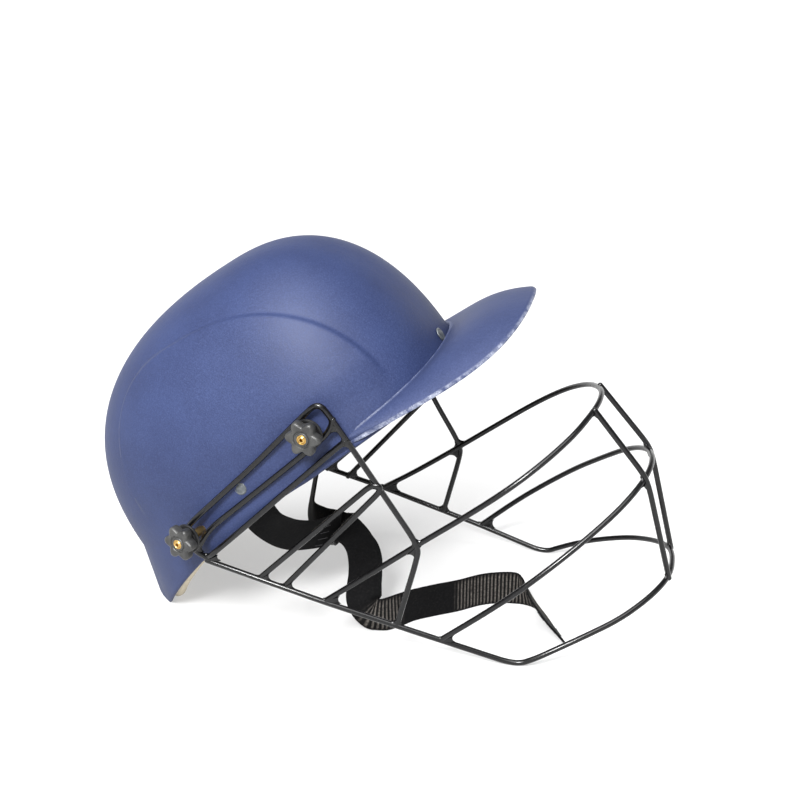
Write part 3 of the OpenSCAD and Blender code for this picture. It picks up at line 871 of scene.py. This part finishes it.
def weld_web(p, u, v):
    """A concave fillet between two wires that leave p along u and v."""
    n = unit(np.cross(u, v))
    half_angle = math.acos(float(np.dot(u, v))) / 2
    side = "left" if p[1] > 0 else "right"
    radius = min(WELD_R[side], WELD_REACH * math.tan(half_angle) - WIRE_R)
    if radius < WELD_MIN_R:
        return None
    middle = unit(u + v)
    sideways = np.cross(n, middle)
    centre = middle * (radius + WIRE_R) / math.sin(half_angle)
    across, up = 11, 7
    top, bottom = [], []
    for i in range(across):
        turn = (math.pi / 2 - half_angle) * (2 * i / (across - 1) - 1)
        q = centre + radius * (sideways * math.sin(turn) - middle * math.cos(turn))
        for j in range(up):
            r = j / (up - 1)
            half = WELD_HALF_T * math.sqrt(max(1 - r ** 5, 0)) * (1 - 0.35 * r) + 0.04
            top.append(p + q * r + n * half)
            bottom.append(p + q * r - n * half)
    m = across * up
    faces = grid_faces(across, up) + [f[::-1] for f in grid_faces(across, up, start=m)]
    rim = [i * up for i in range(across)] + [(across - 1) * up + j for j in range(1, up)]
    rim += [i * up + up - 1 for i in range(across - 2, -1, -1)] + list(range(up - 2, 0, -1))
    for a, b in zip(rim, rim[1:] + rim[:1]):
        faces.append((a, b, b + m, a + m))
    return np.array(top + bottom), faces


def ways_out(path, i):
    """The directions in which a wire leaves its point i."""
    ahead, behind = min(i + WAY_STEPS, len(path) - 1), max(i - WAY_STEPS, 0)
    return [unit(path[k] - path[i]) for k in (ahead, behind) if np.linalg.norm(path[k] - path[i]) > WAY_MIN]


def wire_joints(a, b):
    """Index pairs where two wires come within a weld's reach, one for each meeting."""
    gap = np.linalg.norm(a[:, None] - b[None], axis=2)
    near = gap.min(axis=1)
    found, run = [], []
    for i, d in enumerate(list(near) + [1e9]):
        if d < JOINT_GAP:
            run.append(i)
        elif run:
            best = min(run, key=lambda k: near[k])
            found.append((best, int(gap[best].argmin())))
            run = []
    return found


def make_faceguard():
    paths = {}
    for name, (route, bend) in SIDE_WIRES.items():
        for side in SIDES:
            paths[f"{name}_{side}"] = on_side(rounded(laid(route), bend, BEND_STEPS), side)
    for name, (half, bend) in ACROSS_WIRES.items():
        paths[name] = rounded(laid(half + mirrored(half)), bend, BEND_STEPS)
    for name, path in paths.items():
        points, faces = tube(path, WIRE_R)
        mesh_piece(name + "_coated", points, faces, WIRE, "faceguard", "black_wire", [name])
    fine = {name: resampled(path, 1.0) for name, path in paths.items()}
    names = list(fine)
    low, high = CORNER_COSINES
    webs = []
    for i, a in enumerate(names):
        for b in names[i + 1:]:
            for ia, ib in wire_joints(fine[a], fine[b]):
                p = (fine[a][ia] + fine[b][ib]) / 2
                for u in ways_out(fine[a], ia):
                    for v in ways_out(fine[b], ib):
                        if low < float(np.dot(u, v)) < high:
                            webs.append(weld_web(p, u, v))
    points, faces = joined([web for web in webs if web])
    mesh_piece("faceguard_welds", points, faces, WIRE, "faceguard", "black_wire")


# Clamps

def clamp_frame(end, side):
    """Origin on the shell and outward axis of a clamp, from the record."""
    joints = frame["record"]["behaviour"]["joints"]
    joint = next(j for j in joints if j["name"] == f"knob_{end}_{side}_turn")
    return np.array(joint["pos_m"]) / MM, unit(joint["axis"])


def placed(points, origin, axis):
    """Points of a piece turned about its own z, set on origin with z along axis."""
    axis = unit(axis)
    down = np.array([0.0, 0.0, -1.0])
    first = unit(np.cross(down, axis))
    points = np.asarray(points, float)
    return origin + points[:, :1] * first + points[:, 1:2] * down + points[:, 2:3] * axis


def star_radius(t, inset):
    lobes = (0.5 + 0.5 * np.cos(LOBES * t)) ** 0.85
    return 9.0 + (KNOB_D / 2 - 9.0) * lobes - inset


def star_knob():
    """A six-lobed knob with rolled edges, a dished face and a raised boss."""
    steps = 192
    t = np.linspace(0, 2 * math.pi, steps, endpoint=False)

    def star(inset, z):
        r = star_radius(t, inset)
        return np.stack([r * np.cos(t), r * np.sin(t), np.full(steps, z)], axis=-1)

    def round_ring(r, z):
        return np.stack([r * np.cos(t), r * np.sin(t), np.full(steps, z)], axis=-1)

    bore = INSERT_D / 2 - 0.05
    rings = [round_ring(bore, 0), round_ring(6.5, 0), round_ring(7, 0.4), round_ring(7, 2)]
    rings += [star(2.4, 2.0), star(0.8, 2.2), star(0.25, 2.7), star(0, 3.6)]
    top = KNOB_H
    rings += [star(0, top - 2.2), star(0.18, top - 1.3), star(0.7, top - 0.55), star(1.5, top - 0.12)]
    rings += [star(2.3, top), star(3.0, top - 0.05), round_ring(6.2, top - 0.25), round_ring(5.7, top - 0.95)]
    rings += [round_ring(5.0, top - 1.0), round_ring(4.7, top - 0.35), round_ring(4.4, top - 0.1)]
    rings += [round_ring(bore, top), rings[0]]
    return loft(rings, closed_ends=False)


def stud(seat):
    """A flanged stud with a threaded end and a round socket in its tip."""
    r, tip = STUD_D / 2, STUD_OUT + seat - WASHER_Z["front"]
    flange_r, flange_z = FLANGE_D / 2, -SHELL_T - FLANGE_T
    profile = [(AXIS_R, flange_z - 0.2), (flange_r - 0.4, flange_z - 0.2), (flange_r, flange_z + 0.2),
               (flange_r, -SHELL_T - 0.5), (r, -SHELL_T - 0.3)]
    z = seat - 1
    profile.append((r, z))
    while z < tip - 1.2:
        profile += [(r - THREAD_DEPTH, z + THREAD_PITCH / 4), (r, z + THREAD_PITCH / 2)]
        z += THREAD_PITCH
    profile += [(r, tip - 0.7), (r - 0.5, tip - 0.1), (r - 0.9, tip), (1.25, tip), (1.15, tip - 0.3),
                (1.1, tip - 2.6), (AXIS_R, tip - 2.8)]
    return lathe(profile, 40)


def hex_spacer(seat):
    """A hexagon spacer nut with chamfered ends."""
    hexagon = NUT_TURN + np.arange(6) * math.pi / 3
    corner_r, top = NUT_AF / 2 / math.cos(math.pi / 6), seat - NUT_GAP
    rings = []
    for shrink, height in ((0.55, 0), (0, 0.45), (0, top - 0.45), (0.55, top)):
        ring = []
        for a0, a1 in zip(hexagon, np.roll(hexagon, -1)):
            p0 = corner_r * np.array([math.cos(a0), math.sin(a0)])
            p1 = corner_r * np.array([math.cos(a1), math.sin(a1)])
            for s in (0.04, 0.35, 0.65, 0.96):
                q = p0 * (1 - s) + p1 * s
                q = q * min(1, (corner_r - shrink) / np.linalg.norm(q))
                ring.append((*q, height))
        rings.append(ring)
    return loft(rings)


def turned_ring(profile, lift, steps):
    """A ring turned from a closed profile, which needs no end faces."""
    points, faces = lathe([(r, z + lift) for r, z in profile], steps)
    return points, faces[:-2]


def washer(seat):
    hole, rim, top = STUD_D / 2 + BORE_PLAY, WASHER_D / 2, WASHER_T
    profile = [(hole, 0), (rim - 0.6, 0), (rim - 0.15, 0.18), (rim, 0.6), (rim, top - 0.6),
               (rim - 0.18, top - 0.15), (rim - 0.7, top), (rim - 1.8, top), (rim - 2.1, top - 0.3),
               (rim - 2.7, top - 0.3), (rim - 3.0, top), (hole, top), (hole, 0)]
    return turned_ring(profile, seat, 96)


def insert_ring(lift):
    bore, out, top = STUD_D / 2 + BORE_PLAY, INSERT_D / 2, KNOB_H
    profile = [(bore, 0), (out, 0), (out, top - 0.3), (out - 0.3, top), (bore + 0.25, top),
               (bore, top - 0.3), (bore, 0)]
    return turned_ring(profile, lift, 64)


def make_clamps():
    studs, nuts = [], []
    for end in ENDS:
        seat = WASHER_Z[end]
        knob_z = seat + WASHER_T + KNOB_SEAT
        for side in SIDES:
            origin, axis = clamp_frame(end, side)

            def set_on(mesh):
                return placed(mesh[0], origin, axis), mesh[1]

            studs.append(set_on(stud(seat)))
            nuts.append(set_on(hex_spacer(seat)))
            body, at = f"clamp_{end}_{side}", f"{end}_{side}"
            mesh_piece(f"washer_disc_{at}", *set_on(washer(seat)), WASHER_PLASTIC, body,
                       "washer_plastic", [f"clamp_washer_{at}"])
            body = f"knob_{at}"
            points, faces = star_knob()
            points[:, 2] += knob_z
            mesh_piece(f"star_grip_{at}", *set_on((points, faces)), KNOB_PLASTIC, body,
                       "knob_plastic", [f"star_knob_{at}"])
            mesh_piece(f"insert_ring_{at}", *set_on(insert_ring(knob_z)), BRASS, body,
                       "brass", [f"knob_insert_{at}"])
    mesh_piece("studs_threaded", *joined(studs), BRASS, "helmet", "brass", ["fixing_studs"])
    mesh_piece("hex_spacers", *joined(nuts), BRASS, "helmet", "brass", ["brass_spacer_nuts"])


def rivet_profile(grip):
    """A shank with a flat washer inside and a domed button outside."""
    r = RIVET_D / 2
    return [(AXIS_R, -grip - 0.9), (r - 1.3, -grip - 0.9), (r - 1, -grip - 0.6), (2, -grip), (2, 0.2),
            (r, 0.2), (r, 0.5), (r - 0.25, 0.85), (r - 0.8, 1.15), (r - 1.3, 1.2), (r - 1.6, 1.05),
            (r - 2.0, 1.1), (r - 3.2, 1.45), (AXIS_R, 1.6)]


def make_rivets():
    straps = []
    for side, sign in SIDES.items():
        axis = (-math.sin(STUD_LEAN), sign * math.cos(STUD_LEAN), 0)
        origin = on_side(laid(STRAP_RIVET_AT), side)
        points, faces = lathe(rivet_profile(SHELL_T + STRAP_T), 56)
        straps.append((placed(points, origin, axis), faces))
    mesh_piece("strap_buttons", *joined(straps), RIVET, "helmet", "grey_rivet", ["strap_rivets"])
    points, faces = lathe(rivet_profile(SHELL_T), 56)
    x, y, z = SHELL_FRONT + points[:, 2], points[:, 0], PEAK_RIVET_Z + points[:, 1]
    helmet_points = np.stack([x, y, z], axis=-1)
    mesh_piece("peak_button", worn(helmet_points), faces, RIVET, "helmet", "grey_rivet", ["peak_rivet"])


# Chin strap: places of the webbing, each with the direction of its width

STRAP_RIGHT = [
    (-78, -90, 122, 0.7, 0, 0.7), (-73, -89.5, 112, 0.75, 0, 0.66), (-68, -88.5, 102, 0.8, 0, 0.6),
    (-64, -85, 93, 0.85, 0.1, 0.5), (-59, -77, 84, 0.8, 0.3, 0.5), (-53, -66, 75, 0.7, 0.5, 0.5),
    (-46, -53, 68, 0.6, 0.6, 0.5), (-39, -38, 63, 0.5, 0.6, 0.6), (-33, -25, 60, 0.4, 0.6, 0.7),
    (-29, -16, 59, 0.3, 0.6, 0.75),
]
STRAP_LEFT = [
    (-78, 90, 122, 0.7, 0, 0.7), (-73, 89.5, 112, 0.75, 0, 0.66), (-68, 88.5, 102, 0.8, 0, 0.6),
    (-66, 84, 92, 0.8, -0.3, 0.5), (-66, 74, 80, 0.6, -0.5, 0.6), (-66, 60, 70, 0.4, -0.5, 0.8),
    (-65, 44, 61, 0.35, -0.5, 0.8), (-63, 28, 53, 0.35, -0.5, 0.8), (-57, 12, 50, 0.25, -0.4, 0.85),
    (-47, -1, 51, 0.3, 0.1, 0.9), (-37, -9, 54, 0.2, 0.5, 0.8), (-28, -15, 56, 0.1, 0.85, 0.5),
    (-21, -22, 57.4, 0.15, 0.95, 0.2), (-13.4, -30, 57.2, 0.45, 0.88, 0.05),
    (-7.3, -36, 53.4, 0.67, 0.74, 0.03), (-4, -41, 46.5, 0.78, 0.62, 0.03),
    (-3, -45.5, 37.5, 0.8, 0.6, 0), (-3, -49.5, 28.5, 0.84, 0.5, 0.1), (-2, -53.5, 20.5, 0.8, 0.35, 0.45),
    (3, -58, 15.2, 0.6, 0.1, 0.78), (9, -60, 13.7, 0.3, 0, 0.95), (16, -57, 13.4, 0.05, 0.1, 1),
    (24, -49, 13.4, 0, 0.1, 1), (33, -40, 13.4, 0, 0, 1), (47, -30, 13.4, 0, 0, 1),
    (61, -21, 13.4, 0, 0, 1), (76, -9, 13.4, 0, 0, 1), (89, -3, 13.4, 0, 0, 1),
    (101, -1, 13.3, -0.1, 0, 1), (109, -5, 13, -0.3, -0.1, 0.95), (115, -12, 12.4, -0.42, -0.2, 0.88),
    (120, -21, 11.5, -0.5, -0.3, 0.8), (126, -33, 11.2, -0.52, -0.32, 0.79),
    (132, -45, 11.2, -0.52, -0.32, 0.79), (138, -56, 11.2, -0.52, -0.32, 0.79),
]
SLIDER_AT = (-28, -15, 56)
SLIDER_TURN = {"Z": -35, "Y": -20, "X": 30}
STITCH_COLUMNS = (-0.8, -0.4, 0, 0.4, 0.8)
# Shares of the long strap that carry woven ribs
LONG_STRAP_RIBS = ((0.55, 0.63), (0.72, 0.97))


def strap_section():
    """Half-width and half-thickness fractions round the webbing, thinner at its selvedges."""
    top = [(x, 1.0 if abs(x) < SELVEDGE else 0.72) for x in np.linspace(-1, 1, 9)]
    return top + [(x, -t) for x, t in top[::-1]]


def make_strap(name, node, stops, ribbed):
    """Webbing swept along its stops, with woven ribs over part of its length and a painted highlight on their
    crests.
    """
    stops = np.array(stops, float)
    stops[:, :3] = laid(stops[:, :3])
    curve = catmull(stops, STRAP_STEP)
    path, widths = curve[:, :3], curve[:, 3:]
    t = tangents(path)
    along = np.concatenate([[0], np.cumsum(np.linalg.norm(np.diff(path, axis=0), axis=1))])
    share = along / along[-1]
    section = strap_section()
    rings, crest_highlight = [], []
    for p, d, w, s, f in zip(path, t, widths, along, share):
        w = unit(w - d * np.dot(w, d))
        n = np.cross(d, w)
        amount = sum(float(smooth((f - a) / RIB_FADE) * smooth((b - f) / RIB_FADE)) for a, b in ribbed)
        wave = math.cos(2 * math.pi * s / RIB_PITCH)
        rib = RIB_H * amount * wave
        # Painted highlight: each rib's crest is marked for a lighter colour.
        crest_highlight += [amount * max(wave, 0) * (0.8 if abs(x) < 0.97 else 0) for x, _ in section]
        ring = []
        for x, y in section:
            inside = 1.0 if abs(x) < SELVEDGE else 0.25
            half = (STRAP_T / 2 + rib * inside - 0.04) * y
            ring.append(p + w * x * STRAP_W / 2 + n * half)
        rings.append(ring)
    points, faces = loft(rings)
    strap = mesh_piece(name, points, faces, WEBBING, "helmet", "webbing", [node])
    store_wear_and_highlight(strap, crest_highlight)
    return strap, path, widths, along[-1]


def stitch_rows(path, widths, first, last):
    """Threads sewn through the webbing between two shares of its length."""
    t = tangents(path)
    lo, hi = int(first * (len(path) - 1)), int(last * (len(path) - 1))
    step = max(int(STITCH_PITCH / STRAP_STEP), 2)
    parts = []
    for i in range(lo, hi - step, step):
        for x in STITCH_COLUMNS:
            for face in (-1, 1):
                ends = []
                for k, lift in ((i, 0.0), (i + step // 2, 0.28), (i + step - 1, 0.0)):
                    w = unit(widths[k] - t[k] * np.dot(widths[k], t[k]))
                    n = np.cross(t[k], w)
                    ends.append(path[k] + w * x * STRAP_W / 2 + n * face * (STRAP_T / 2 + 0.1 + lift))
                parts.append(tube(ends, STITCH_R, 8))
    return joined(parts)


def slider_mesh():
    """A flat rounded sleeve with a raised rim at each mouth and a ribbed face."""
    steps = 72
    t = np.linspace(0, 2 * math.pi, steps, endpoint=False)

    def ring(half_w, half_h, x):
        c, s = spow(np.cos(t), 0.34), spow(np.sin(t), 0.5)
        return np.stack([np.full(steps, x), half_w * c, half_h * s], axis=-1)

    w, h = STRAP_W / 2 + 2.5, 2.3
    low_w, low_h = w - 0.3, h - 0.35
    rings = [ring(w - 1.9, 1.75, -5), ring(w - 0.5, h - 0.3, -5), ring(w, h, -4.5), ring(w, h, -3.8),
             ring(low_w, low_h, -3.3)]
    for i in range(5):
        x = -2.4 + 1.2 * i
        rings += [ring(low_w, low_h, x - 0.35), ring(w - 0.25, h - 0.1, x), ring(low_w, low_h, x + 0.35)]
    rings += [ring(low_w, low_h, 3.3), ring(w, h, 3.8), ring(w, h, 4.5), ring(w - 0.5, h - 0.3, 5),
              ring(w - 1.9, 1.75, 5), ring(w - 1.9, 1.75, -5)]
    return loft(rings, closed_ends=False)


def make_slider():
    points, faces = slider_mesh()
    turn = Matrix.Identity(3)
    for axis, degrees in SLIDER_TURN.items():
        turn = turn @ Matrix.Rotation(math.radians(degrees), 3, axis)
    points = points @ np.array(turn).T + laid(SLIDER_AT)
    return mesh_piece("slider_sleeve", points, faces, BLACK_PLASTIC, "helmet", "black_plastic",
                      ["strap_slider"])


def make_straps():
    slider = make_slider()
    right = make_strap("strap_short_side", "strap_right", STRAP_RIGHT, ())
    left = make_strap("strap_long_side", "strap_left", STRAP_LEFT, LONG_STRAP_RIBS)
    rows = [
        stitch_rows(right[1], right[2], 0.80, 0.90),
        stitch_rows(left[1], left[2], 0.955, 0.985),
    ]
    mesh_piece("strap_stitches", *joined(rows), THREAD, "helmet", "webbing")


# Floor, light and camera

CAMERA_AT = (0.2031, -0.9133, 0.5339)
CAMERA_AZIMUTH, CAMERA_ELEVATION = math.radians(12), math.radians(22)
LENS = 63
SUN_FROM = (-0.1, -0.3, 0.95)
SUN_STRENGTH, SUN_ANGLE = 4.2, math.radians(60)
KEY_AT, KEY_SIZE, KEY_WATTS = (-0.15, -1.25, 1.2), (0.45, 0.4), 56
WORLD_STRENGTH = 0.32
# Radius and height of the floor's rings, in metres
SWEEP = ((5.0, 0), (5.6, 0.04), (6.0, 0.2), (6.2, 0.6), (6.2, 2.2))
FLOOR_GREY, FLOOR_GLOW = 0.38, 0.45
WALL_GREY, WALL_GLOW = 0.4, 0.95


def make_floor():
    """A round white floor that turns up into a low wall, so that its horizon never shows."""
    steps = 96
    turn = np.linspace(2 * math.pi, 0, steps, endpoint=False)
    rings = [
        np.stack([r * np.cos(turn), r * np.sin(turn), np.full(steps, z)], axis=-1)
        for r, z in SWEEP
    ]
    faces = grid_faces(len(SWEEP), steps, wrap=True) + [tuple(reversed(range(steps)))]
    mesh = bpy.data.meshes.new("floor")
    mesh.from_pydata([tuple(p) for p in np.concatenate(rings)], [], faces)
    mesh.polygons.foreach_set("use_smooth", [True] * len(faces))
    floor = bpy.data.objects.new("floor", mesh)
    bpy.context.scene.collection.objects.link(floor)
    mesh.materials.append(glowing_look("floor_white", FLOOR_GREY, FLOOR_GLOW))
    mesh.materials.append(glowing_look("wall_white", WALL_GREY, WALL_GLOW))
    for face in mesh.polygons:
        face.material_index = int(face.center.z > 0.005)


def area_light(name, at, aim, size, watts):
    data = bpy.data.lights.new(name, "AREA")
    data.shape = "RECTANGLE"
    data.size, data.size_y = size
    data.energy = watts
    light = bpy.data.objects.new(name, data)
    bpy.context.scene.collection.objects.link(light)
    light.location = at
    light.rotation_euler = (Vector(aim) - Vector(at)).to_track_quat("-Z", "Y").to_euler()


def make_light():
    scene = bpy.context.scene
    world = bpy.data.worlds.new("studio")
    world.use_nodes = True
    background = world.node_tree.nodes["Background"]
    background.inputs["Color"].default_value = (1, 1, 1, 1)
    background.inputs["Strength"].default_value = WORLD_STRENGTH
    scene.world = world
    scene.view_settings.view_transform = "Standard"
    middle = tuple((a + b) / 2 for a, b in zip(*CAD_BOX))
    area_light("key", KEY_AT, middle, KEY_SIZE, KEY_WATTS)
    sun = bpy.data.lights.new("ceiling", "SUN")
    sun.energy, sun.angle = SUN_STRENGTH, SUN_ANGLE
    ceiling = bpy.data.objects.new("ceiling", sun)
    bpy.context.scene.collection.objects.link(ceiling)
    ceiling.rotation_euler = (-Vector(SUN_FROM)).to_track_quat("-Z", "Y").to_euler()


def make_camera():
    data = bpy.data.cameras.new("camera")
    data.lens = LENS
    data.sensor_width = 36
    data.dof.use_dof = False
    camera = bpy.data.objects.new("camera", data)
    bpy.context.scene.collection.objects.link(camera)
    camera.location = CAMERA_AT
    ca, sa = math.cos(CAMERA_AZIMUTH), math.sin(CAMERA_AZIMUTH)
    ce, se = math.cos(CAMERA_ELEVATION), math.sin(CAMERA_ELEVATION)
    back = Vector((sa * ce, -ca * ce, se))
    right = Vector((ca, sa, 0))
    up = back.cross(right)
    camera.rotation_euler = Matrix((right, up, back)).transposed().to_euler()
    bpy.context.scene.camera = camera


make_shell()
make_liner()
make_peak()
make_pads()
make_faceguard()
make_clamps()
make_rivets()
make_straps()
make_floor()
make_light()
make_camera()
